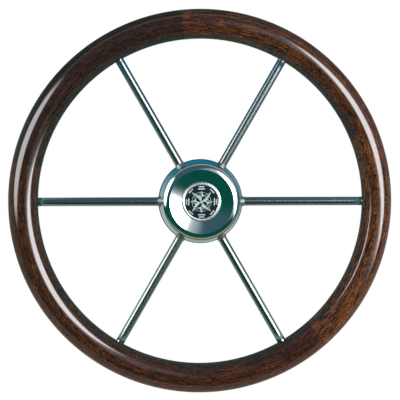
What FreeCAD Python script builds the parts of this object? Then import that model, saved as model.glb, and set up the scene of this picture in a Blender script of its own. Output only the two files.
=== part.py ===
import FreeCAD, Part
import math
import os

import Sketcher
from FreeCAD import Placement, Rotation, Vector

# A six-spoked boat steering wheel: a round wooden grip glued up round a steel hoop, six steel rods,
# and a spun steel hub bowl with a turned boss inside and a cap with a compass badge in front.
# The shaft axis is Y. The driver looks along +Y, so the front of the wheel faces -Y, and +Z is up.
# The origin is on the axis at the back face of the boss, where the shaft goes in.
# Heights below are measured forward from that face, and radii from the shaft axis. All are in mm.

SIZES = {
    # Grip and the hoop inside it
    "wheel_diameter": 400.0,
    "grip_diameter": 31.0,
    "hoop_thickness": 5.0,
    "hoop_width": 12.0,
    "glue_gap": 0.15,
    # Spokes
    "spoke_count": 6,
    "spoke_diameter": 9.0,
    "spigot_diameter": 6.0,
    "spoke_height": 29.0,
    "spoke_end_chamfer": 0.6,
    "rod_fit": 0.05,
    "shoulder_gap": 0.1,
    "rod_hole_clearance": 0.1,
    "weld_width": 2.0,
    "weld_height": 2.0,
    # Boss
    "taper_large_diameter": 19.05,
    "taper_ratio": 12.0,
    "taper_length": 25.0,
    "key_width": 4.76,
    "key_depth": 2.4,
    "tail_diameter": 42.0,
    "flange_diameter": 52.0,
    "flange_thickness": 3.0,
    "neck_diameter": 37.0,
    "neck_length": 2.0,
    "head_diameter": 56.0,
    "head_margin": 1.5,
    "nut_well_diameter": 34.0,
    "socket_depth": 8.5,
    "edge_chamfer": 0.8,
    # Bowl
    "bowl_diameter": 88.0,
    "bowl_wall": 2.0,
    "bowl_back_height": 5.0,
    "bowl_back_bend": 17.0,
    "lip_height": 38.0,
    "lip_inset": 4.2,
    "lip_width": 2.8,
    "mouth_land": 4.0,
    "lip_chamfer": 0.4,
    # Cap and its sealing ring
    "cap_reveal": 0.7,
    "cap_seat_gap": 0.15,
    "cap_edge": 1.2,
    "cap_wall": 1.5,
    "shoulder_width": 5.9,
    "shoulder_rise": 2.55,
    "shoulder_bend": 10.9,
    "dial_depth": 3.2,
    "dial_bend": 200.0,
    "skirt_thickness": 3.6,
    "skirt_depth": 3.5,
    "skirt_fit": 0.3,
    "seal_section": 1.9,
    "seal_fit": 0.05,
    "seal_land": 0.75,
    # Badge
    "recess_diameter": 41.8,
    "recess_depth": 0.8,
    "recess_chamfer": 0.4,
    "bezel_gap": 0.85,
    "bezel_width": 2.45,
    "bezel_rise": 2.3,
    "bezel_outer_bend": 1.3,
    "bezel_inner_bend": 1.6,
    "disc_fit": 0.15,
    "disc_thickness": 1.2,
    "disc_chamfer": 0.2,
    "relief": 0.3,
    "long_point": 14.1,
    "short_point": 11.7,
    "long_point_root": 5.0,
    "short_point_root": 6.5,
    "rose_centre": 1.1,
    "outline_share": 0.08,
    "outer_ring_radius": 10.1,
    "inner_ring_radius": 7.3,
    "ring_line": 0.35,
    "mark_inset": 1.9,
    "inner_mark_inset": 4.2,
    "mark_line": 1.3,
    "long_mark": 7.4,
    "short_mark": 5.6,
    "corner_mark": 6.0,
}

FULL_TURN = 360.0
EIGHTH_TURN = 45.0
SIXTEENTH_TURN = 22.5
FRONT_TO_SKETCH = Rotation(Vector(1, 0, 0), 180)
ANTICLOCKWISE = 1
CLOCKWISE = -1
TINY = 1e-6


class Size:
    """A length, angle or count, held as a number and as the sheet formula that gives it."""

    def __init__(self, number, formula):
        self.number = float(number)
        self.formula = formula

    def __add__(self, other):
        other = as_size(other)
        return Size(self.number + other.number, f"({self.formula} + {other.formula})")

    def __sub__(self, other):
        other = as_size(other)
        return Size(self.number - other.number, f"({self.formula} - {other.formula})")

    def __mul__(self, other):
        other = as_size(other)
        return Size(self.number * other.number, f"({self.formula} * {other.formula})")

    def __truediv__(self, other):
        other = as_size(other)
        return Size(self.number / other.number, f"({self.formula} / {other.formula})")

    def __neg__(self):
        return Size(-self.number, f"(0 - {self.formula})")


def as_size(value):
    if isinstance(value, Size):
        return value
    return Size(value, repr(float(value)))


def root(value):
    return Size(math.sqrt(value.number), f"sqrt({value.formula})")


def polar(radius, degrees):
    """The point at a radius and an angle, as a pair of sizes."""
    across = Size(math.cos(math.radians(degrees)), f"cos({degrees})")
    upward = Size(math.sin(math.radians(degrees)), f"sin({degrees})")
    return radius * across, radius * upward


def arc_reach(bend, drop):
    """How far a circle of radius bend reaches sideways, at a distance drop from its centre."""
    return root(bend * bend - drop * drop)


def make_sheet(document):
    sheet = document.addObject("Spreadsheet::Sheet", "Sizes")
    for row, (name, value) in enumerate(SIZES.items(), start=1):
        sheet.set(f"A{row}", name.replace("_", " "))
        sheet.set(f"B{row}", str(value))
        sheet.setAlias(f"B{row}", name)
    document.recompute()
    return sheet


def size(name):
    return Size(SIZES[name], f"Sizes.{name}")


def radius_of(name):
    return size(name) / 2


# Places that several pieces share
SPOKE_HEIGHT = size("spoke_height")
SPOKE_RADIUS = radius_of("spoke_diameter")
GRIP_RADIUS = radius_of("grip_diameter")
GRIP_CENTRE = radius_of("wheel_diameter") - GRIP_RADIUS
HOOP_INSIDE = GRIP_CENTRE - radius_of("hoop_thickness")
HOOP_OUTSIDE = GRIP_CENTRE + radius_of("hoop_thickness")
ROD_HOLE_RADIUS = SPOKE_RADIUS + size("rod_hole_clearance")
SOCKET_BOTTOM = radius_of("head_diameter") - size("socket_depth")
TAIL_RADIUS = radius_of("tail_diameter")
FLOOR_TOP = size("bowl_back_height") + size("bowl_wall")
BOWL_RADIUS = radius_of("bowl_diameter")
WIDEST_HEIGHT = size("bowl_back_height") + size("bowl_back_bend")
LIP_HEIGHT = size("lip_height")
LIP_RADIUS = BOWL_RADIUS - size("lip_inset")
MOUTH_RADIUS = LIP_RADIUS - size("lip_width")
CAP_SEAT = LIP_HEIGHT + size("cap_seat_gap")
CAP_RADIUS = LIP_RADIUS - size("cap_reveal")
SHOULDER_BOTTOM = CAP_SEAT + size("cap_edge")
RIDGE_RADIUS = CAP_RADIUS - size("shoulder_width")
RIDGE_HEIGHT = SHOULDER_BOTTOM + size("shoulder_rise")
DIAL_BOTTOM = RIDGE_HEIGHT - size("dial_depth")
RECESS_RADIUS = radius_of("recess_diameter")
RECESS_FLOOR = DIAL_BOTTOM - size("recess_depth")
BEZEL_OUTSIDE = RECESS_RADIUS - size("bezel_gap")
BEZEL_INSIDE = BEZEL_OUTSIDE - size("bezel_width")
DISC_TOP = RECESS_FLOOR + size("disc_thickness")
SKIRT_RADIUS = MOUTH_RADIUS - size("skirt_fit")
SKIRT_BOTTOM = CAP_SEAT - size("skirt_depth")
SEAL_CENTRE = MOUTH_RADIUS - size("seal_fit") - radius_of("seal_section")
SEAL_GROOVE_RADIUS = SEAL_CENTRE - radius_of("seal_section") - size("seal_fit")
SEAL_GROOVE_BOTTOM = SKIRT_BOTTOM + size("seal_land")
SEAL_GROOVE_TOP = SEAL_GROOVE_BOTTOM + size("seal_section") + size("seal_fit") * 2


def bowl_side_bend():
    """Radius of the arc that joins the bowl's widest circle, where it is upright, to the lip."""
    inset = BOWL_RADIUS - LIP_RADIUS
    climb = LIP_HEIGHT - WIDEST_HEIGHT
    return (inset * inset + climb * climb) / (inset * 2)


def bowl_radius_at(height, depth_in_wall):
    """Radius of the bowl's side at a height, depth_in_wall under its outer face."""
    bend = bowl_side_bend()
    return BOWL_RADIUS - bend + arc_reach(bend - depth_in_wall, height - WIDEST_HEIGHT)


def origin_feature(body, role):
    return next(item for item in body.Origin.OriginFeatures if item.Role == role)


def new_body(document, label):
    body = document.addObject("PartDesign::Body", label)
    body.Label = label
    return body


def new_sketch(body, name, plane):
    sketch = body.newObject("Sketcher::SketchObject", name)
    sketch.AttachmentSupport = (origin_feature(body, plane), [""])
    sketch.MapMode = "FlatFace"
    return sketch


def lock_point(sketch, element, point, place):
    """Tie one point of the sketch to a pair of sizes, counted from the sketch's origin."""
    for kind, value in zip(("DistanceX", "DistanceY"), place):
        index = sketch.addConstraint(Sketcher.Constraint(kind, element, point, value.number))
        sketch.setExpression(f"Constraints[{index}]", value.formula)


def bent_edge(start, end, bend, turn):
    """The arc of a given radius from start to end, drawn anticlockwise as sketches need it."""
    if turn == CLOCKWISE:
        start, end = end, start
    chord = end - start
    middle = (start + end) * 0.5
    rise = math.sqrt(max(bend * bend - chord.Length ** 2 / 4, 0.0))
    left = Vector(-chord.y, chord.x, 0).normalize()
    centre = middle + left * rise
    first = math.atan2(start.y - centre.y, start.x - centre.x)
    last = math.atan2(end.y - centre.y, end.x - centre.x)
    return Part.ArcOfCircle(Part.Circle(centre, Vector(0, 0, 1), bend), first, last)


def draw_outline(sketch, corners, bends=None):
    """Close a loop through the corners. bends maps the number of a corner to (radius, turn) of the
    arc, shorter than half a turn, that leaves it, and every other edge is straight."""
    bends = bends or {}
    points = [Vector(across.number, along.number, 0) for across, along in corners]
    ends = []
    for index, start in enumerate(points):
        end = points[(index + 1) % len(points)]
        if index in bends:
            bend, turn = bends[index]
            element = sketch.addGeometry(bent_edge(start, end, bend.number, turn))
            constraint = sketch.addConstraint(Sketcher.Constraint("Radius", element, bend.number))
            sketch.setExpression(f"Constraints[{constraint}]", bend.formula)
            ends.append((element, 1, 2) if turn == ANTICLOCKWISE else (element, 2, 1))
        else:
            element = sketch.addGeometry(Part.LineSegment(start, end))
            ends.append((element, 1, 2))
    for index, (element, start_point, end_point) in enumerate(ends):
        next_element, next_start, _ = ends[(index + 1) % len(ends)]
        joined = Sketcher.Constraint("Coincident", element, end_point, next_element, next_start)
        sketch.addConstraint(joined)
        lock_point(sketch, element, start_point, corners[index])


def draw_circle(sketch, centre, radius):
    middle = Vector(centre[0].number, centre[1].number, 0)
    element = sketch.addGeometry(Part.Circle(middle, Vector(0, 0, 1), radius.number))
    constraint = sketch.addConstraint(Sketcher.Constraint("Radius", element, radius.number))
    sketch.setExpression(f"Constraints[{constraint}]", radius.formula)
    lock_point(sketch, element, 3, centre)


def section_sketch(body, name):
    """A sketch through the shaft axis: across is the radius, along is the height forward."""
    sketch = new_sketch(body, name, "XY_Plane")
    sketch.AttachmentOffset = Placement(Vector(0, 0, 0), FRONT_TO_SKETCH)
    return sketch


def turned(body, name, corners, bends=None):
    """Turn an outline of radii and heights round the shaft axis."""
    sketch = section_sketch(body, f"{name}_section")
    draw_outline(sketch, corners, bends)
    feature = body.newObject("PartDesign::Revolution", name)
    feature.Profile = sketch
    feature.ReferenceAxis = (sketch, ["V_Axis"])
    feature.Angle = FULL_TURN
    body.Tip = feature
    return feature


def round_pattern(body, name, feature, count):
    """Repeat a feature evenly round the shaft axis. count is a size or a plain number."""
    pattern = body.newObject("PartDesign::PolarPattern", name)
    pattern.Originals = [feature]
    pattern.Axis = (origin_feature(body, "Y_Axis"), [""])
    pattern.Angle = FULL_TURN
    pattern.Occurrences = int(as_size(count).number)
    if isinstance(count, Size):
        pattern.setExpression("Occurrences", count.formula)
    body.Tip = pattern
    return pattern


def radial_holes(body, name, radius, nearest, farthest):
    """Cut one round hole for each spoke, outwards from one radius to another."""
    sketch = new_sketch(body, f"{name}_circle", "YZ_Plane")
    sketch.setExpression("AttachmentOffset.Base.z", nearest.formula)
    draw_circle(sketch, (-SPOKE_HEIGHT, as_size(0)), radius)
    pocket = body.newObject("PartDesign::Pocket", name)
    pocket.Profile = sketch
    pocket.Reversed = True
    pocket.setExpression("Length", (farthest - nearest).formula)
    round_pattern(body, f"{name}_round", pocket, size("spoke_count"))


def raised(body, name, outline_kind, shapes, count=None):
    """Raise flat shapes off the front of the badge disc, repeated round the axis if asked."""
    sketch = new_sketch(body, f"{name}_outline", "XZ_Plane")
    sketch.setExpression("AttachmentOffset.Base.z", DISC_TOP.formula)
    for shape in shapes:
        if outline_kind == "circles":
            draw_circle(sketch, (as_size(0), as_size(0)), shape)
        else:
            draw_outline(sketch, shape)
    pad = body.newObject("PartDesign::Pad", name)
    pad.Profile = sketch
    pad.setExpression("Length", size("relief").formula)
    body.Tip = pad
    if count:
        round_pattern(body, f"{name}_round", pad, count)


def make_grip_half(document, label, side):
    """Half of the wooden grip, with half of the hoop's channel. side is 1 in front, -1 behind."""
    body = new_body(document, label)
    glue = size("glue_gap")
    channel_inside = HOOP_INSIDE - glue
    channel_outside = HOOP_OUTSIDE + glue
    channel_end = SPOKE_HEIGHT + (radius_of("hoop_width") + glue) * side
    crest = SPOKE_HEIGHT + GRIP_RADIUS * side
    corners = [
        (GRIP_CENTRE - GRIP_RADIUS, SPOKE_HEIGHT),
        (channel_inside, SPOKE_HEIGHT),
        (channel_inside, channel_end),
        (channel_outside, channel_end),
        (channel_outside, SPOKE_HEIGHT),
        (GRIP_CENTRE + GRIP_RADIUS, SPOKE_HEIGHT),
        (GRIP_CENTRE, crest),
    ]
    turn = ANTICLOCKWISE if side > 0 else CLOCKWISE
    turned(body, f"{label}_ring", corners, {5: (GRIP_RADIUS, turn), 6: (GRIP_RADIUS, turn)})
    inner_edge = GRIP_CENTRE - GRIP_RADIUS - SPOKE_RADIUS
    radial_holes(body, f"{label}_rod_groove", ROD_HOLE_RADIUS, inner_edge, GRIP_CENTRE)
    return body


def make_hoop(document):
    """Flat steel ring on edge inside the grip, drilled for the spigots of the spokes."""
    body = new_body(document, "rim_hoop")
    low = SPOKE_HEIGHT - radius_of("hoop_width")
    high = SPOKE_HEIGHT + radius_of("hoop_width")
    corners = [(HOOP_INSIDE, low), (HOOP_OUTSIDE, low), (HOOP_OUTSIDE, high), (HOOP_INSIDE, high)]
    turned(body, "hoop_ring", corners)
    hole_radius = radius_of("spigot_diameter") + size("rod_fit")
    start = HOOP_INSIDE - size("hoop_thickness")
    end = HOOP_OUTSIDE + size("hoop_thickness")
    radial_holes(body, "spigot_hole", hole_radius, start, end)
    return body


def make_spoke(document, number):
    """A round rod from its socket in the boss to the hoop, with a turned spigot at the outer end."""
    body = new_body(document, f"spoke_{number}")
    chamfer = size("spoke_end_chamfer")
    inner_end = SOCKET_BOTTOM + size("rod_fit")
    shoulder = HOOP_INSIDE - size("shoulder_gap")
    spigot = radius_of("spigot_diameter")
    axis = as_size(0)
    corners = [
        (inner_end, axis),
        (HOOP_OUTSIDE, axis),
        (HOOP_OUTSIDE, spigot),
        (shoulder, spigot),
        (shoulder, SPOKE_RADIUS),
        (inner_end + chamfer, SPOKE_RADIUS),
        (inner_end, SPOKE_RADIUS - chamfer),
    ]
    sketch = new_sketch(body, f"spoke_{number}_section", "XY_Plane")
    draw_outline(sketch, corners)
    rod = body.newObject("PartDesign::Revolution", f"spoke_{number}_rod")
    rod.Profile = sketch
    rod.ReferenceAxis = (sketch, ["H_Axis"])
    rod.Angle = FULL_TURN
    body.Tip = rod
    body.Placement = Placement(Vector(0, 0, 0), Rotation(Vector(0, -1, 0), 1))
    body.setExpression("Placement.Base.y", (-SPOKE_HEIGHT).formula)
    turn = as_size(FULL_TURN) * (number - 1) / size("spoke_count")
    body.setExpression("Placement.Rotation.Angle", turn.formula)
    return body


def make_boss(document):
    """Turned boss: a tail through the bowl's floor, a flange on it, a waist, and a head that holds
    the spokes and has the well of the shaft nut. The shaft's taper and keyway come from behind."""
    body = new_body(document, "hub_boss")
    chamfer = size("edge_chamfer")
    taper_large = radius_of("taper_large_diameter")
    taper_small = taper_large - size("taper_length") / size("taper_ratio") / 2
    flange = radius_of("flange_diameter")
    neck = radius_of("neck_diameter")
    head = radius_of("head_diameter")
    well = radius_of("nut_well_diameter")
    head_top = SPOKE_HEIGHT + SPOKE_RADIUS + size("head_margin")
    head_bottom = SPOKE_HEIGHT - SPOKE_RADIUS - size("head_margin")
    flange_top = FLOOR_TOP + size("flange_thickness")
    neck_top = flange_top + chamfer + size("neck_length")
    origin = as_size(0)
    corners = [
        (taper_large, origin),
        (TAIL_RADIUS - chamfer, origin),
        (TAIL_RADIUS, chamfer),
        (TAIL_RADIUS, FLOOR_TOP),
        (flange, FLOOR_TOP),
        (flange, flange_top),
        (neck, flange_top + chamfer),
        (neck, neck_top),
        (head, head_bottom),
        (head, head_top - chamfer),
        (head - chamfer, head_top),
        (well, head_top),
        (well, size("taper_length")),
        (taper_small, size("taper_length")),
    ]
    turned(body, "boss_turning", corners)
    outside = head + SPOKE_RADIUS
    radial_holes(body, "spoke_socket", SPOKE_RADIUS + size("rod_fit"), SOCKET_BOTTOM, outside)
    keyway = new_sketch(body, "keyway_outline", "XZ_Plane")
    half_key = radius_of("key_width")
    key_top = taper_large + size("key_depth")
    key_corners = [(-half_key, origin), (half_key, origin), (half_key, key_top), (-half_key, key_top)]
    draw_outline(keyway, key_corners)
    slot = body.newObject("PartDesign::Pocket", "keyway")
    slot.Profile = keyway
    slot.Reversed = True
    slot.setExpression("Length", size("taper_length").formula)
    body.Tip = slot
    return body


def make_bowl(document):
    """Spun steel bowl round the boss, with a turned mouth for the cap and a welded collar at each
    spoke. Its side is one arc from the lip to the widest circle and a tighter one round the back."""
    body = new_body(document, "hub_bowl")
    wall = size("bowl_wall")
    back_bend = size("bowl_back_bend")
    side_bend = bowl_side_bend()
    back = size("bowl_back_height")
    hole = TAIL_RADIUS + size("rod_fit")
    floor_edge = BOWL_RADIUS - back_bend
    land_bottom = LIP_HEIGHT - size("mouth_land")
    chamfer = size("lip_chamfer")
    corners = [
        (hole, back),
        (floor_edge, back),
        (BOWL_RADIUS, WIDEST_HEIGHT),
        (LIP_RADIUS, LIP_HEIGHT),
        (MOUTH_RADIUS + chamfer, LIP_HEIGHT),
        (MOUTH_RADIUS, LIP_HEIGHT - chamfer),
        (MOUTH_RADIUS, land_bottom),
        (bowl_radius_at(land_bottom, wall), land_bottom),
        (BOWL_RADIUS - wall, WIDEST_HEIGHT),
        (floor_edge, FLOOR_TOP),
        (hole, FLOOR_TOP),
    ]
    bends = {
        1: (back_bend, ANTICLOCKWISE),
        2: (side_bend, ANTICLOCKWISE),
        7: (side_bend - wall, CLOCKWISE),
        8: (back_bend - wall, CLOCKWISE),
    }
    turned(body, "bowl_spinning", corners, bends)
    collar_radius = SPOKE_RADIUS + size("weld_width")
    collar_start = bowl_radius_at(SPOKE_HEIGHT + collar_radius, wall / 8)
    collar_end = bowl_radius_at(SPOKE_HEIGHT, as_size(0)) + size("weld_height")
    collar = body.newObject("PartDesign::AdditiveCone", "weld_collar")
    collar.AttachmentSupport = (origin_feature(body, "YZ_Plane"), [""])
    collar.MapMode = "FlatFace"
    collar.setExpression("AttachmentOffset.Base.x", (-SPOKE_HEIGHT).formula)
    collar.setExpression("AttachmentOffset.Base.z", collar_start.formula)
    collar.setExpression("Radius1", collar_radius.formula)
    collar.setExpression("Radius2", (ROD_HOLE_RADIUS + size("rod_fit")).formula)
    collar.setExpression("Height", (collar_end - collar_start).formula)
    round_pattern(body, "weld_collar_round", collar, size("spoke_count"))
    outside = BOWL_RADIUS + SPOKE_RADIUS
    radial_holes(body, "rod_hole", ROD_HOLE_RADIUS, radius_of("head_diameter"), outside)
    return body


def make_cap(document):
    """Turned cap: a skirt with the seal's groove in the mouth, a rolled shoulder that climbs from
    the lip to a sharp ridge, a dial that is dished inside it, and a round recess for the badge."""
    body = new_body(document, "hub_cap")
    chamfer = size("recess_chamfer")
    wall = size("cap_wall")
    skirt_inside = SKIRT_RADIUS - size("skirt_thickness")
    dial_edge = RECESS_RADIUS + chamfer
    axis = as_size(0)
    corners = [
        (CAP_RADIUS, CAP_SEAT),
        (CAP_RADIUS, SHOULDER_BOTTOM),
        (RIDGE_RADIUS, RIDGE_HEIGHT),
        (dial_edge, DIAL_BOTTOM),
        (RECESS_RADIUS, DIAL_BOTTOM - chamfer),
        (RECESS_RADIUS, RECESS_FLOOR),
        (axis, RECESS_FLOOR),
        (axis, RECESS_FLOOR - wall),
        (RECESS_RADIUS, RECESS_FLOOR - wall),
        (skirt_inside, RIDGE_HEIGHT - wall * 2),
        (skirt_inside, SKIRT_BOTTOM),
        (SKIRT_RADIUS, SKIRT_BOTTOM),
        (SKIRT_RADIUS, SEAL_GROOVE_BOTTOM),
        (SEAL_GROOVE_RADIUS, SEAL_GROOVE_BOTTOM),
        (SEAL_GROOVE_RADIUS, SEAL_GROOVE_TOP),
        (SKIRT_RADIUS, SEAL_GROOVE_TOP),
        (SKIRT_RADIUS, CAP_SEAT),
    ]
    bends = {
        1: (size("shoulder_bend"), ANTICLOCKWISE),
        2: (size("dial_bend"), CLOCKWISE),
    }
    turned(body, "cap_turning", corners, bends)
    return body


def make_seal(document):
    """Rubber ring that grips the cap's skirt in the bowl's mouth."""
    seal = document.addObject("Part::Torus", "cap_seal_ring")
    seal.Label = "cap_seal_ring"
    seal.setExpression("Radius1", SEAL_CENTRE.formula)
    seal.setExpression("Radius2", radius_of("seal_section").formula)
    seal.Placement = Placement(Vector(0, 0, 0), Rotation(Vector(1, 0, 0), 90))
    height = (SEAL_GROOVE_BOTTOM + SEAL_GROOVE_TOP) / 2
    seal.setExpression("Placement.Base.y", (-height).formula)
    return seal


def make_bezel(document):
    """Bright ring round the badge, with a rounded crest."""
    body = new_body(document, "badge_bezel")
    outer_bend = size("bezel_outer_bend")
    inner_bend = size("bezel_inner_bend")
    crest = RECESS_FLOOR + size("bezel_rise")
    crest_radius = BEZEL_OUTSIDE - outer_bend
    inner_shoulder = crest - inner_bend + arc_reach(inner_bend, crest_radius - BEZEL_INSIDE)
    corners = [
        (BEZEL_INSIDE, RECESS_FLOOR),
        (BEZEL_OUTSIDE, RECESS_FLOOR),
        (BEZEL_OUTSIDE, crest - outer_bend),
        (crest_radius, crest),
        (BEZEL_INSIDE, inner_shoulder),
    ]
    turned(body, "bezel_turning", corners, {2: (outer_bend, ANTICLOCKWISE), 3: (inner_bend, ANTICLOCKWISE)})
    return body


def make_disc(document):
    """Black enamelled disc inside the bezel."""
    body = new_body(document, "badge_disc")
    radius = BEZEL_INSIDE - size("disc_fit")
    chamfer = size("disc_chamfer")
    axis = as_size(0)
    corners = [
        (axis, RECESS_FLOOR),
        (radius, RECESS_FLOOR),
        (radius, DISC_TOP - chamfer),
        (radius - chamfer, DISC_TOP),
        (axis, DISC_TOP),
    ]
    turned(body, "disc_turning", corners)
    return body


def outline_bar(tip, corner):
    """A thin bar along the edge from tip to corner, on the side of the badge's centre."""
    kept = as_size(1) - size("outline_share")
    inner_tip = (tip[0] * kept, tip[1] * kept)
    inner_corner = (corner[0] * kept, corner[1] * kept)
    return [tip, corner, inner_corner, inner_tip]


def make_rose(document):
    """Eight-pointed wind rose of raised metal. Each point has one solid half and one in outline,
    and two fine rings tie the points together."""
    body = new_body(document, "badge_rose")
    centre = (as_size(0), as_size(0))
    long_tip = polar(size("long_point"), EIGHTH_TURN)
    right_root = polar(size("long_point_root"), 0)
    upper_root = polar(size("long_point_root"), 2 * EIGHTH_TURN)
    short_tip = polar(size("short_point"), 0)
    lower_root = polar(size("short_point_root"), -SIXTEENTH_TURN)
    higher_root = polar(size("short_point_root"), SIXTEENTH_TURN)
    raised(body, "rose_centre", "circles", [size("rose_centre")])
    raised(body, "long_half", "outlines", [[centre, right_root, long_tip]], 4)
    for name in ("inner_ring_radius", "outer_ring_radius"):
        raised(body, name[:-7], "circles", [size(name), size(name) - size("ring_line")])
    raised(body, "short_half", "outlines", [[right_root, lower_root, short_tip]], 4)
    raised(body, "long_outline", "outlines", [outline_bar(long_tip, upper_root)], 4)
    raised(body, "short_outline", "outlines", [outline_bar(short_tip, higher_root)], 4)
    return body


def upright_mark(distance, length):
    """Outline of a plain bar above the badge's centre, square to the radius."""
    half_length = length / 2
    half_line = radius_of("mark_line")
    low = distance - half_line
    high = distance + half_line
    return [(-half_length, low), (half_length, low), (half_length, high), (-half_length, high)]


def slanting_mark(distance, length):
    """The same bar, turned an eighth of a turn to the right."""
    cosine = Size(math.cos(math.radians(EIGHTH_TURN)), f"cos({EIGHTH_TURN})")
    turned_corners = []
    for across, along in upright_mark(distance, length):
        turned_corners.append(((across + along) * cosine, (along - across) * cosine))
    return turned_corners


def make_marks(document):
    """Plain raised bars round the rose: two at each quarter, one between."""
    body = new_body(document, "badge_marks")
    outer_row = BEZEL_INSIDE - size("mark_inset")
    inner_row = BEZEL_INSIDE - size("inner_mark_inset")
    outer = upright_mark(outer_row, size("short_mark"))
    inner = upright_mark(inner_row, size("long_mark"))
    corner = slanting_mark(outer_row, size("corner_mark"))
    raised(body, "quarter_marks", "outlines", [outer, inner], 4)
    raised(body, "corner_marks", "outlines", [corner], 4)
    return body


def check_objects(document, pieces):
    """Stop if anything failed to build, or if a piece is empty, open or not valid."""
    for item in document.Objects:
        if "Invalid" in item.State or "Error" in item.State:
            raise RuntimeError(f"{item.Name} failed: {item.State}")
    for item in document.Objects:
        if item.TypeId == "PartDesign::Pocket":
            before = item.BaseFeature.Shape.Volume
            if before - item.Shape.Volume < TINY * before:
                raise RuntimeError(f"{item.Name} cuts nothing")
    for piece in pieces:
        shape = piece.Shape
        if shape.isNull() or not shape.isValid() or not shape.Solids:
            raise RuntimeError(f"{piece.Label} is not a valid solid")


def export_pieces(pieces):
    os.makedirs("parts", exist_ok=True)
    for piece in pieces:
        piece.Shape.exportStep(f"parts/{piece.Label}.step")
        print(piece.Label, len(piece.Shape.Solids), "solids", round(piece.Shape.Volume), "mm3")


def main():
    document = FreeCAD.newDocument("SteeringWheel")
    make_sheet(document)
    pieces = [
        make_grip_half(document, "rim_front_half", 1),
        make_grip_half(document, "rim_back_half", -1),
        make_hoop(document),
    ]
    for number in range(1, int(SIZES["spoke_count"]) + 1):
        pieces.append(make_spoke(document, number))
    pieces += [
        make_boss(document),
        make_bowl(document),
        make_cap(document),
        make_seal(document),
        make_bezel(document),
        make_disc(document),
        make_rose(document),
        make_marks(document),
    ]
    document.recompute()
    check_objects(document, pieces)
    export_pieces(pieces)


main()
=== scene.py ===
import math

import bmesh
import bpy
from mathutils import Matrix, Vector


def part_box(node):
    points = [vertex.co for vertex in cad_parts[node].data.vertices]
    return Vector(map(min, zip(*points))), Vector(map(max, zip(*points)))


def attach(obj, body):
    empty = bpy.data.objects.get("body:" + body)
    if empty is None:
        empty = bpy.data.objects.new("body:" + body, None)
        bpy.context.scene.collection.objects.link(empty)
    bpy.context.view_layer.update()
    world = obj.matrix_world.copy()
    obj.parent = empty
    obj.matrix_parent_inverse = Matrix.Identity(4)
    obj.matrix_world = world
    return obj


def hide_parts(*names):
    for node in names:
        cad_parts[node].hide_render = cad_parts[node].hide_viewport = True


# The looks of a six-spoked boat steering wheel: varnished wooden grip, polished steel rods and hub,
# and an enamelled compass badge. Lengths are in metres. The shaft axis is Y, the front faces -Y.

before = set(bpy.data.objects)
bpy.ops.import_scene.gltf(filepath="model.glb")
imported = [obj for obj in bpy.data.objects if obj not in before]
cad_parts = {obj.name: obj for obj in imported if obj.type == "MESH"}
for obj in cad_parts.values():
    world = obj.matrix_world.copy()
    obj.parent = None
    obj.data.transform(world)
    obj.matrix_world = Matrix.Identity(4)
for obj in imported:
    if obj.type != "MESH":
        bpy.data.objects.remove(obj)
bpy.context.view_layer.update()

# Places read from the frame
GRIP_LOW, GRIP_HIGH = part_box("rim_front_half")
HOOP_LOW, HOOP_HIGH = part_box("rim_hoop")
WHEEL_PLANE = GRIP_HIGH[1]
WHEEL_CENTRE = Vector((0.0, WHEEL_PLANE, 0.0))
GRIP_TUBE = WHEEL_PLANE - GRIP_LOW[1]
GRIP_RING = GRIP_HIGH[0] - GRIP_TUBE
HOOP_OUTSIDE = HOOP_HIGH[0]
HOOP_THICKNESS = 0.005
HOOP_HALF_WIDTH = (HOOP_HIGH[1] - HOOP_LOW[1]) / 2
GLUE_GAP = 0.00015

# Camera
CAMERA_AZIMUTH = -4.0
CAMERA_ELEVATION = 2.6
CAMERA_DISTANCE = 2.0
SENSOR_WIDTH = 36.0
VIEW_WIDTH = 0.4168
AIM_RIGHT = -0.0009
AIM_UP = 0.00145

# Steel of the hub: dull zone round each rod's axis, whose steel is painted dark teal there as painted shade, and the
# satin dial inside the cap's shoulder
WELD_AND_SHADE_REACH = 0.0062
# Rod steel painted dark and teal as painted shade, which dims the rods' reflections
ROD_COLOUR_WITH_PAINTED_SHADE = (0.25, 0.28, 0.28)
ROD_ROUGHNESS = 0.24
CAP_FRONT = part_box("hub_cap")[0][1]
DIAL_RADIUS = 0.0332
DIAL_INSIDE = 0.0213
DIAL_COLOUR = (0.69, 0.70, 0.70)
DIAL_ROUGHNESS = 0.10

# Facets of the new grip halves
GRIP_FACETS = 40
RIM_FACETS = 300
SHARP_ANGLE = math.radians(40.0)

# Colours of the wood: (place round the wheel, tone) for each glued piece, its figure, and its flecks. The piece tones
# hold painted light and painted shade as well as the wood's own tone: the piece at the right, where the key light
# falls, is lightest, and the piece towards the upper left is darkest.
WOOD_TONES_AND_PAINTED_LIGHT = [
    (0.0, (0.060, 0.0162, 0.0060)),
    (0.2, (0.025, 0.0082, 0.0051)),
    (0.4, (0.046, 0.0125, 0.0058)),
    (0.6, (0.040, 0.0098, 0.0048)),
    (0.8, (0.086, 0.0250, 0.0077)),
]
WOOD_FIGURE = [(0.32, (0.50, 0.53, 0.62)), (0.5, (1.0, 1.0, 1.0)), (0.68, (1.6, 1.6, 1.4))]
DARK_STREAK = (0.012, 0.0040, 0.0036)
FLECK_GAIN = (2.6, 2.9, 2.3)
PORE = (0.006, 0.0025, 0.0030)

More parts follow.
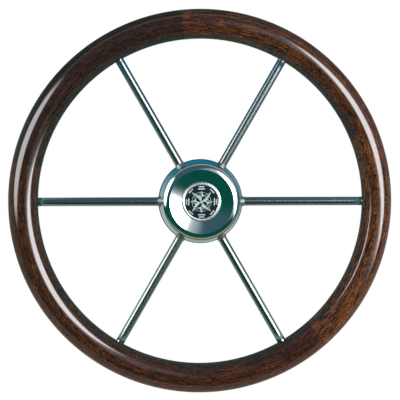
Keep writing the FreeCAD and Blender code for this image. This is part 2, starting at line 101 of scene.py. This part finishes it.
# Colours of the room that the gloss sees, and where its glow and its hole are
ROOM_GREEN = (0.002, 0.095, 0.066)
ROOM_SLATE = (0.05, 0.13, 0.18)
ROOM_GLOW = (0.62, 0.74, 0.80)
ROOM_CREAM = (0.60, 0.52, 0.35)
ROOM_BEHIND = [
    (0.0, (0.30, 0.30, 0.36)),
    (0.10, (0.12, 0.16, 0.20)),
    (0.18, (0.0, 0.14, 0.14)),
    (0.38, (0.0, 0.14, 0.14)),
    (0.46, (0.18, 0.28, 0.27)),
    (0.58, (0.25, 0.27, 0.24)),
    (0.68, (0.42, 0.36, 0.28)),
    (0.88, (0.40, 0.34, 0.27)),
    (1.0, (0.30, 0.30, 0.36)),
]
SCREEN_COLOURS = [
    (0.0, (0.20, 0.42, 0.48)),
    (0.08, (0.16, 0.42, 0.60)),
    (0.18, (0.01, 0.24, 0.42)),
    (0.37, (0.03, 0.28, 0.46)),
    (0.45, (0.36, 0.58, 0.66)),
    (0.57, (0.64, 0.77, 0.72)),
    (0.74, (0.48, 0.60, 0.52)),
    (0.88, (0.56, 0.68, 0.64)),
    (1.0, (0.20, 0.42, 0.48)),
]
SCREEN_BACK = (0.03, 0.20, 0.20)
SCREEN_END = (0.01, 0.06, 0.07)
SCREEN_RADIUS = 0.1655
SCREEN_DEPTH = 0.24
SCREEN_LEAD = 0.018
GLOW_DIRECTION = (0.54, -0.81, 0.23)
ROOM_HOLE = 0.995
GLOW_STRENGTH = 0.4
GLOW_EDGE = (0.83, 0.975)
LEFT_LIGHT_SIDES = 24

# Floor
FLOOR_RADIUS = 1.5
FLOOR_HEIGHT = -0.6


def direction(azimuth, elevation):
    """Unit vector from the wheel towards a place, both angles in degrees, 0 and 0 being the front."""
    turn = math.radians(azimuth)
    rise = math.radians(elevation)
    return Vector((math.sin(turn) * math.cos(rise), -math.cos(turn) * math.cos(rise), math.sin(rise)))


def aim(thing, target):
    """Turn a lamp, camera or card so that its -Z looks at the target."""
    thing.rotation_euler = (target - thing.location).to_track_quat("-Z", "Y").to_euler()


def make_camera():
    data = bpy.data.cameras.new("camera")
    data.sensor_width = SENSOR_WIDTH
    data.lens = SENSOR_WIDTH * CAMERA_DISTANCE / VIEW_WIDTH
    camera = bpy.data.objects.new("camera", data)
    bpy.context.collection.objects.link(camera)
    camera.location = WHEEL_CENTRE + direction(CAMERA_AZIMUTH, CAMERA_ELEVATION) * CAMERA_DISTANCE
    aim(camera, WHEEL_CENTRE + Vector((AIM_RIGHT, 0.0, AIM_UP)))
    bpy.context.scene.camera = camera


class Recipe:
    """A material's node tree, written down one node at a time."""

    def __init__(self, name):
        self.material = bpy.data.materials.new(name)
        self.material.use_nodes = True
        self.tree = self.material.node_tree
        self.tree.nodes.clear()
        self.output = self.node("ShaderNodeOutputMaterial")

    def node(self, kind, inputs=None, **settings):
        made = self.tree.nodes.new(kind)
        for name, value in settings.items():
            setattr(made, name, value)
        for name, value in (inputs or {}).items():
            if isinstance(value, bpy.types.NodeSocket):
                self.tree.links.new(value, made.inputs[name])
            else:
                made.inputs[name].default_value = value
        return made

    def maths(self, operation, first, second=0.0):
        made = self.node("ShaderNodeMath", {0: first, 1: second}, operation=operation)
        return made.outputs[0]

    def place(self):
        return self.node("ShaderNodeTexCoord").outputs["Object"]

    def split(self, vector):
        made = self.node("ShaderNodeSeparateXYZ", {0: vector})
        return made.outputs[0], made.outputs[1], made.outputs[2]

    def join(self, x, y, z):
        return self.node("ShaderNodeCombineXYZ", {0: x, 1: y, 2: z}).outputs[0]

    def ramp(self, value, stops, interpolation="LINEAR"):
        """A colour ramp. stops is a list of (place, colour)."""
        made = self.node("ShaderNodeValToRGB", {0: value})
        made.color_ramp.interpolation = interpolation
        elements = made.color_ramp.elements
        while len(elements) < len(stops):
            elements.new(0.5)
        for element, (place, colour) in zip(elements, stops):
            element.position = place
            element.color = (*colour, 1.0)
        return made.outputs["Color"]

    def spread(self, value, low, high):
        """Stretch the part of a value between low and high to 0 to 1."""
        made = self.node("ShaderNodeMapRange", {0: value, 1: low, 2: high})
        return made.outputs[0]

    def blend(self, share, first, second, kind="MIX"):
        made = self.node("ShaderNodeMix", data_type="RGBA", blend_type=kind)
        for socket, value in ((0, share), (6, first), (7, second)):
            if isinstance(value, bpy.types.NodeSocket):
                self.tree.links.new(value, made.inputs[socket])
            elif socket == 0:
                made.inputs[socket].default_value = value
            else:
                made.inputs[socket].default_value = (*value, 1.0)
        return made.outputs[2]

    def compare(self, value, low, high):
        """0 below low, 1 above high, and a smooth step between them. Low may be the larger one."""
        made = self.node("ShaderNodeMapRange", {0: value, 1: low, 2: high}, interpolation_type="SMOOTHSTEP")
        return made.outputs[0]

    def show(self, shader):
        self.tree.links.new(shader.outputs[0], self.output.inputs["Surface"])
        return self.material


def dress(node, material):
    """Give a CAD node a material."""
    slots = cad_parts[node].material_slots
    for slot in slots:
        slot.material = material


def polar_place(recipe):
    """Distance from the shaft axis, and the direction away from it as two parts, right and up."""
    x, _, z = recipe.split(recipe.place())
    outward = recipe.join(x, 0.0, z)
    radius = recipe.node("ShaderNodeVectorMath", {0: outward}, operation="LENGTH").outputs["Value"]
    return radius, recipe.maths("DIVIDE", x, radius), recipe.maths("DIVIDE", z, radius)


def angle_round(recipe):
    """Turn round the shaft axis as a share of a whole one, anticlockwise from the right."""
    _, right, up = polar_place(recipe)
    angle = recipe.maths("ARCTAN2", up, right)
    turns = recipe.maths("MULTIPLY", angle, 1.0 / math.tau)
    return recipe.maths("FRACT", recipe.maths("ADD", turns, 1.0))


def varnished_wood(name, first_joint):
    """Glossy varnish over wood glued up from five bent pieces, each with its own tone, which also holds painted light
    and painted shade: lightest at the right, darkest towards the upper left. The first joint between two of them is at
    an angle in degrees, anticlockwise from the right."""
    recipe = Recipe(name)
    radius, right, up = polar_place(recipe)
    _, y, _ = recipe.split(recipe.place())

    def grain(along, across, detail):
        """Noise stretched along the grip: sizes of its spots in metres along and across."""
        reach = GRIP_RING / along
        spot = recipe.join(recipe.maths("MULTIPLY", right, reach), recipe.maths("MULTIPLY", up, reach),
                           recipe.maths("MULTIPLY", radius, 1.0 / across))
        inputs = {"Vector": spot, "W": recipe.maths("MULTIPLY", y, 1.0 / across), "Scale": 1.0, "Detail": detail,
                  "Roughness": 0.6}
        return recipe.node("ShaderNodeTexNoise", inputs, noise_dimensions="4D").outputs[0]

    piece_place = recipe.maths("FRACT", recipe.maths("SUBTRACT", angle_round(recipe), first_joint / 360.0 - 1.0))
    # Tone of each piece, with painted light on the right and painted shade towards the upper left
    tone_and_painted_light = recipe.ramp(piece_place, WOOD_TONES_AND_PAINTED_LIGHT, "CONSTANT")
    figure = recipe.ramp(grain(0.045, 0.0050, 3.0), WOOD_FIGURE)
    base = recipe.blend(1.0, tone_and_painted_light, figure, "MULTIPLY")
    streaked = recipe.blend(recipe.compare(grain(0.020, 0.0012, 3.0), 0.52, 0.38), base, DARK_STREAK)
    bright_fleck = recipe.blend(1.0, tone_and_painted_light, FLECK_GAIN, "MULTIPLY")
    flecked = recipe.blend(recipe.compare(grain(0.009, 0.0010, 2.0), 0.52, 0.70), streaked, bright_fleck)
    pored = recipe.blend(recipe.compare(grain(0.0035, 0.0009, 1.0), 0.48, 0.38), flecked, PORE)
    from_joint = recipe.maths("ABSOLUTE", recipe.maths("SUBTRACT", y, WHEEL_PLANE))
    joined = recipe.blend(recipe.compare(from_joint, 0.00025, 0.0001), pored, PORE)
    shader = recipe.node("ShaderNodeBsdfPrincipled", {
        "Base Color": joined,
        "Roughness": 0.6,
        "Specular IOR Level": 0.0,
        "Coat Weight": 1.0,
        "Coat Roughness": 0.02,
        "Coat IOR": 1.75,
    })
    return recipe.show(shader)


def steel_colour(recipe, brightness):
    """Grey with a fine mottle."""
    mottle = recipe.node("ShaderNodeTexNoise", {"Vector": recipe.place(), "Scale": 900.0, "Detail": 2.0})
    darker = tuple(part * 0.93 for part in brightness)
    return recipe.ramp(mottle.outputs[0], [(0.3, darker), (0.7, brightness)])


def rod_finish():
    """Drawn and polished steel rod, its steel colour painted dark and teal as painted shade, which dims its
    reflections.
    """
    recipe = Recipe("rod_steel")
    shader = recipe.node("ShaderNodeBsdfPrincipled", {
        "Base Color": steel_colour(recipe, ROD_COLOUR_WITH_PAINTED_SHADE),
        "Metallic": 1.0,
        "Roughness": ROD_ROUGHNESS,
    })
    return recipe.show(shader)


def bowl_finish():
    """Spun and polished steel, duller where each rod is welded in, and painted dark teal there as painted shade, which
    dims the reflections round each rod.
    """
    recipe = Recipe("bowl_steel")
    radius, _, _ = polar_place(recipe)
    _, y, _ = recipe.split(recipe.place())
    sixths = recipe.maths("FRACT", recipe.maths("ADD", recipe.maths("MULTIPLY", angle_round(recipe), 6.0), 0.5))
    beside = recipe.maths("MULTIPLY", recipe.maths("MULTIPLY", recipe.maths("SUBTRACT", sixths, 0.5), math.tau / 6), radius)
    before = recipe.maths("SUBTRACT", y, WHEEL_PLANE)
    off_rod = recipe.node("ShaderNodeVectorMath", {0: recipe.join(beside, before, 0.0)}, operation="LENGTH")
    weld_dull_and_painted_shade = recipe.compare(off_rod.outputs["Value"], WELD_AND_SHADE_REACH + 0.0004, WELD_AND_SHADE_REACH)
    # Painted shade: round each rod the steel colour is painted dark teal; the higher roughness there is the dull weld
    colour = recipe.blend(weld_dull_and_painted_shade, steel_colour(recipe, (0.56, 0.57, 0.57)), (0.20, 0.24, 0.24))
    dull = recipe.node("ShaderNodeMapRange", {0: weld_dull_and_painted_shade, 3: 0.12, 4: 0.45}).outputs[0]
    shader = recipe.node("ShaderNodeBsdfPrincipled", {"Base Color": colour, "Metallic": 1.0, "Roughness": dull})
    return recipe.show(shader)


def cap_finish():
    """Polished steel with a satin dial, finely turned in circles."""
    recipe = Recipe("cap_steel")
    _, y, _ = recipe.split(recipe.place())
    radius, right, up = polar_place(recipe)
    polish = recipe.node("ShaderNodeBsdfPrincipled", {
        "Base Color": steel_colour(recipe, (0.69, 0.70, 0.70)),
        "Metallic": 1.0,
        "Roughness": 0.06,
    })
    slope = recipe.node("ShaderNodeMapRange", {0: radius, 1: DIAL_INSIDE, 2: DIAL_RADIUS, 3: -0.238, 4: -0.300})
    lean = recipe.join(recipe.maths("MULTIPLY", right, slope.outputs[0]), -1.0,
                       recipe.maths("MULTIPLY", up, slope.outputs[0]))
    facing = recipe.node("ShaderNodeVectorMath", {0: lean}, operation="NORMALIZE").outputs[0]
    satin = recipe.node("ShaderNodeBsdfPrincipled", {
        "Base Color": steel_colour(recipe, DIAL_COLOUR),
        "Metallic": 1.0,
        "Roughness": DIAL_ROUGHNESS,
        "Normal": facing,
    })
    on_dial = recipe.maths("MULTIPLY", recipe.compare(radius, DIAL_RADIUS + 0.0002, DIAL_RADIUS),
                           recipe.compare(y, CAP_FRONT + 0.006, CAP_FRONT + 0.0055))
    whole = recipe.node("ShaderNodeMixShader", {0: on_dial, 1: polish.outputs[0], 2: satin.outputs[0]})
    return recipe.show(whole)


def plain_finish(name, colour, roughness, metallic):
    recipe = Recipe(name)
    mottle = recipe.node("ShaderNodeTexNoise", {"Vector": recipe.place(), "Scale": 1200.0, "Detail": 2.0})
    darker = tuple(part * 0.85 for part in colour)
    shade = recipe.ramp(mottle.outputs[0], [(0.3, darker), (0.7, colour)])
    shader = recipe.node("ShaderNodeBsdfPrincipled", {
        "Base Color": shade,
        "Metallic": metallic,
        "Roughness": roughness,
    })
    return recipe.show(shader)


def make_grip(name, node, side, wood):
    """Half of the grip: a half circle with the hoop's channel in its flat side, turned round the
    shaft axis. side is -1 in front of the wheel's plane and 1 behind it."""
    shape = bmesh.new()
    channel_inside = HOOP_OUTSIDE - HOOP_THICKNESS - GLUE_GAP
    channel_outside = HOOP_OUTSIDE + GLUE_GAP
    channel_floor = WHEEL_PLANE + side * (HOOP_HALF_WIDTH + GLUE_GAP)
    outline = [(channel_inside, WHEEL_PLANE), (channel_inside, channel_floor), (channel_outside, channel_floor),
               (channel_outside, WHEEL_PLANE)]
    for step in range(GRIP_FACETS + 1):
        turn = math.pi * step / GRIP_FACETS
        outline.append((GRIP_RING + GRIP_TUBE * math.cos(turn), WHEEL_PLANE + side * GRIP_TUBE * math.sin(turn)))
    corners = [shape.verts.new((across, along, 0.0)) for across, along in outline]
    for first, second in zip(corners, corners[1:] + corners[:1]):
        shape.edges.new((first, second))
    bmesh.ops.spin(shape, geom=shape.verts[:] + shape.edges[:], cent=(0.0, 0.0, 0.0), axis=(0.0, 1.0, 0.0),
                   angle=math.tau, steps=RIM_FACETS, use_merge=True)
    bmesh.ops.recalc_face_normals(shape, faces=shape.faces)
    for face in shape.faces:
        face.smooth = True
    for edge in shape.edges:
        edge.smooth = edge.calc_face_angle(0.0) < SHARP_ANGLE
    made = new_object(name, shape, wood)
    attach(made, "root")
    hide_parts(node)


def dress_wheel():
    front_wood = varnished_wood("front_wood", 23.0)
    back_wood = varnished_wood("back_wood", 59.0)
    make_grip("grip_front", "rim_front_half", -1, front_wood)
    make_grip("grip_back", "rim_back_half", 1, back_wood)
    rod = rod_finish()
    hidden = plain_finish("hidden_steel", (0.50, 0.50, 0.51), 0.4, 1.0)
    rubber = plain_finish("seal_rubber", (0.03, 0.03, 0.03), 0.7, 0.0)
    bezel = plain_finish("bezel_bright", (0.70, 0.72, 0.73), 0.35, 0.8)
    relief = plain_finish("badge_bright", (0.36, 0.46, 0.46), 0.5, 0.5)
    enamel = plain_finish("badge_enamel", (0.008, 0.013, 0.016), 0.15, 0.0)
    finishes = {
        "rim_front_half": front_wood, "rim_back_half": back_wood, "rim_hoop": hidden, "hub_boss": hidden,
        "hub_bowl": bowl_finish(), "hub_cap": cap_finish(), "cap_seal_ring": rubber, "badge_bezel": bezel,
        "badge_disc": enamel, "badge_rose": relief, "badge_marks": relief,
    }
    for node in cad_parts:
        dress(node, rod if node.startswith("spoke") else finishes[node])


def glow(recipe, colour):
    """A glowing surface, too weak in strength to count as a lamp, with its colour brightened to match."""
    brighter = recipe.node("ShaderNodeVectorMath", {0: colour, "Scale": 1.0 / GLOW_STRENGTH}, operation="SCALE")
    shader = recipe.node("ShaderNodeEmission", {"Color": brighter.outputs[0], "Strength": GLOW_STRENGTH})
    return recipe.show(shader)


def new_object(name, shape, material):
    """Turn a bmesh into an object with one material."""
    mesh = bpy.data.meshes.new(name)
    shape.to_mesh(mesh)
    shape.free()
    mesh.materials.append(material)
    made = bpy.data.objects.new(name, mesh)
    bpy.context.collection.objects.link(made)
    return made


def add_reflector(name, shape, material):
    """Place something that is seen only in the gloss of the wheel."""
    made = new_object(name, shape, material)
    made.visible_camera = False
    made.visible_diffuse = False
    made.visible_shadow = False


def soft_box(name, outline, border, fade, strength):
    """A flat light seen in the gloss, which fades out over its border, the faster the higher fade."""
    shape = bmesh.new()
    shade = shape.verts.layers.float.new("shade")
    middle = shape.faces.new([shape.verts.new(corner) for corner in outline])
    middle.normal_update()
    bmesh.ops.inset_region(shape, faces=[middle], use_boundary=True, use_even_offset=True, thickness=border)
    for corner in middle.verts:
        corner[shade] = 1.0
    recipe = Recipe(name)
    level = recipe.node("ShaderNodeAttribute", attribute_name="shade").outputs["Fac"]
    faded = recipe.maths("POWER", level, fade)
    clear = recipe.node("ShaderNodeBsdfTransparent")
    lit = recipe.node("ShaderNodeEmission", {"Color": (1.0, 1.0, 1.0, 1.0), "Strength": strength})
    shader = recipe.node("ShaderNodeMixShader", {0: faded, 1: clear.outputs[0], 2: lit.outputs[0]})
    add_reflector(name, shape, recipe.show(shader))


def room_paint():
    """Colours that the gloss sees around the wheel: dark green in front and slate above it, with a
    paler glow round the right light, a cream band overhead, and behind them teal above, brown below
    and grey at the sides."""
    recipe = Recipe("room_paint")
    place = recipe.node("ShaderNodeVectorMath", {0: recipe.place()}, operation="NORMALIZE").outputs[0]
    _, y, rise = recipe.split(place)
    _, _, up = polar_place(recipe)
    off_axis = recipe.maths("DEGREES", recipe.maths("ARCCOSINE", recipe.maths("MULTIPLY", y, -1.0)))
    behind = recipe.ramp(angle_round(recipe), ROOM_BEHIND)
    start = recipe.node("ShaderNodeMapRange", {0: up, 1: -0.3, 2: -0.8, 3: 79.0, 4: 62.0}).outputs[0]
    is_behind = recipe.compare(recipe.maths("SUBTRACT", off_axis, start), -3.0, 3.0)
    glow_side = recipe.node("ShaderNodeVectorMath", {0: place, 1: GLOW_DIRECTION}, operation="DOT_PRODUCT")
    shaded = recipe.blend(recipe.compare(rise, -0.02, 0.32), ROOM_GREEN, ROOM_SLATE)
    front = recipe.blend(recipe.compare(glow_side.outputs["Value"], *GLOW_EDGE), shaded, ROOM_GLOW)
    cream = recipe.maths("MULTIPLY", recipe.compare(off_axis, 66.0, 70.0), recipe.compare(up, 0.1, 0.6))
    banded = recipe.blend(cream, front, ROOM_CREAM)
    whole = recipe.blend(is_behind, banded, behind)
    return glow(recipe, whole)


def make_screens():
    """A wide coloured tube behind the hub and rods, blue above and pale below, with a dark far end,
    and a dark tube round it for the inside of the grip. Only the gloss sees them."""
    recipe = Recipe("screen_paint")
    paint = glow(recipe, recipe.ramp(angle_round(recipe), SCREEN_COLOURS))
    dark = glow(Recipe("screen_back"), SCREEN_BACK)
    end = glow(Recipe("screen_end"), SCREEN_END)
    for name, radius, material in (("hub_screen", SCREEN_RADIUS, paint), ("grip_screen", SCREEN_RADIUS + 0.002, dark)):
        shape = screen_disc(radius, -SCREEN_LEAD, False)
        wall = bmesh.ops.extrude_edge_only(shape, edges=shape.edges)
        far_edge = [item for item in wall["geom"] if isinstance(item, bmesh.types.BMVert)]
        bmesh.ops.translate(shape, verts=far_edge, vec=(0.0, SCREEN_LEAD + SCREEN_DEPTH, 0.0))
        add_reflector(name, shape, material)
    add_reflector("hub_screen_end", screen_disc(SCREEN_RADIUS, SCREEN_DEPTH, True), end)


def screen_disc(radius, depth, filled):
    """A circle round the shaft axis, depth behind the wheel's plane."""
    shape = bmesh.new()
    bmesh.ops.create_circle(shape, cap_ends=filled, segments=96, radius=radius)
    bmesh.ops.rotate(shape, verts=shape.verts, cent=(0.0, 0.0, 0.0), matrix=Matrix.Rotation(math.pi / 2, 3, "X"))
    bmesh.ops.translate(shape, verts=shape.verts, vec=WHEEL_CENTRE + Vector((0.0, depth, 0.0)))
    return shape


def make_room():
    """A round room that only the gloss sees, with a hole behind for the white background."""
    shape = bmesh.new()
    bmesh.ops.create_uvsphere(shape, u_segments=64, v_segments=32, radius=6.0)
    bmesh.ops.translate(shape, verts=shape.verts, vec=WHEEL_CENTRE)
    hole = [face for face in shape.faces if face.calc_center_median().normalized().y > ROOM_HOLE]
    bmesh.ops.delete(shape, geom=hole, context="FACES")
    add_reflector("room", shape, room_paint())


def add_floor():
    """Plain pale floor under the wheel, which is held in the air by its shaft."""
    recipe = Recipe("floor_paint")
    mottle = recipe.node("ShaderNodeTexNoise", {"Vector": recipe.place(), "Scale": 3.0, "Detail": 2.0})
    colour = recipe.ramp(mottle.outputs[0], [(0.3, (0.91, 0.91, 0.91)), (0.7, (0.93, 0.93, 0.93))])
    shader = recipe.node("ShaderNodeBsdfPrincipled", {"Base Color": colour, "Roughness": 0.9})
    shape = bmesh.new()
    bmesh.ops.create_circle(shape, cap_ends=True, segments=96, radius=FLOOR_RADIUS)
    bmesh.ops.translate(shape, verts=shape.verts, vec=(0.0, 0.0, FLOOR_HEIGHT))
    floor = new_object("floor", shape, recipe.show(shader))
    floor.visible_glossy = False


def make_lights():
    right_corners = [(0.534, -4.355, 0.054), (2.379, -1.207, -1.735), (2.675, -0.917, 1.004), (1.515, -3.098, 3.091)]
    soft_box("right_light", [Vector(corner) for corner in right_corners], 0.80, 4.0, 9.0)
    left_outline = []
    for step in range(LEFT_LIGHT_SIDES):
        turn = math.tau * step / LEFT_LIGHT_SIDES
        reach = Vector((-0.235, 0.47, 0.065)) * math.cos(turn) + Vector((0.173, 0.0, 0.577)) * math.sin(turn)
        left_outline.append(Vector((-1.07, -0.61, 0.31)) + reach)
    soft_box("left_light", left_outline, 0.20, 1.5, 5.6)
    add_lamp("right_lamp", (1.78, -2.33, 0.73), 2.0, 125.0)
    add_lamp("left_lamp", (-1.07, -0.61, 0.31), 0.8, 9.0)
    add_lamp("back_lamp", (-0.80, 2.40, 0.90), 2.0, 90.0)


def add_lamp(name, place, width, power):
    """A soft square light on matt surfaces. The gloss sees the soft boxes in its place."""
    data = bpy.data.lights.new(name, "AREA")
    data.size = width
    data.energy = power
    lamp = bpy.data.objects.new(name, data)
    bpy.context.collection.objects.link(lamp)
    lamp.location = place
    aim(lamp, WHEEL_CENTRE)
    lamp.visible_glossy = False
    lamp.visible_camera = False


def make_world():
    """White to the eye and to gloss, and a softer even light on everything else."""
    world = bpy.data.worlds.new("studio")
    world.use_nodes = True
    tree = world.node_tree
    tree.nodes.clear()
    seen = tree.nodes.new("ShaderNodeBackground")
    seen.inputs["Color"].default_value = (1.0, 1.0, 1.0, 1.0)
    soft = tree.nodes.new("ShaderNodeBackground")
    soft.inputs["Color"].default_value = (1.0, 1.0, 1.0, 1.0)
    soft.inputs["Strength"].default_value = 0.09
    rays = tree.nodes.new("ShaderNodeLightPath")
    either = tree.nodes.new("ShaderNodeMath")
    either.operation = "MAXIMUM"
    tree.links.new(rays.outputs["Is Camera Ray"], either.inputs[0])
    tree.links.new(rays.outputs["Is Glossy Ray"], either.inputs[1])
    whole = tree.nodes.new("ShaderNodeMath")
    whole.operation = "MAXIMUM"
    tree.links.new(either.outputs[0], whole.inputs[0])
    tree.links.new(rays.outputs["Is Transmission Ray"], whole.inputs[1])
    mix = tree.nodes.new("ShaderNodeMixShader")
    tree.links.new(whole.outputs[0], mix.inputs[0])
    tree.links.new(soft.outputs[0], mix.inputs[1])
    tree.links.new(seen.outputs[0], mix.inputs[2])
    output = tree.nodes.new("ShaderNodeOutputWorld")
    tree.links.new(mix.outputs[0], output.inputs["Surface"])
    bpy.context.scene.world = world
    bpy.context.scene.view_settings.view_transform = "Standard"


make_camera()
make_world()
make_room()
make_screens()
add_floor()
make_lights()
dress_wheel()
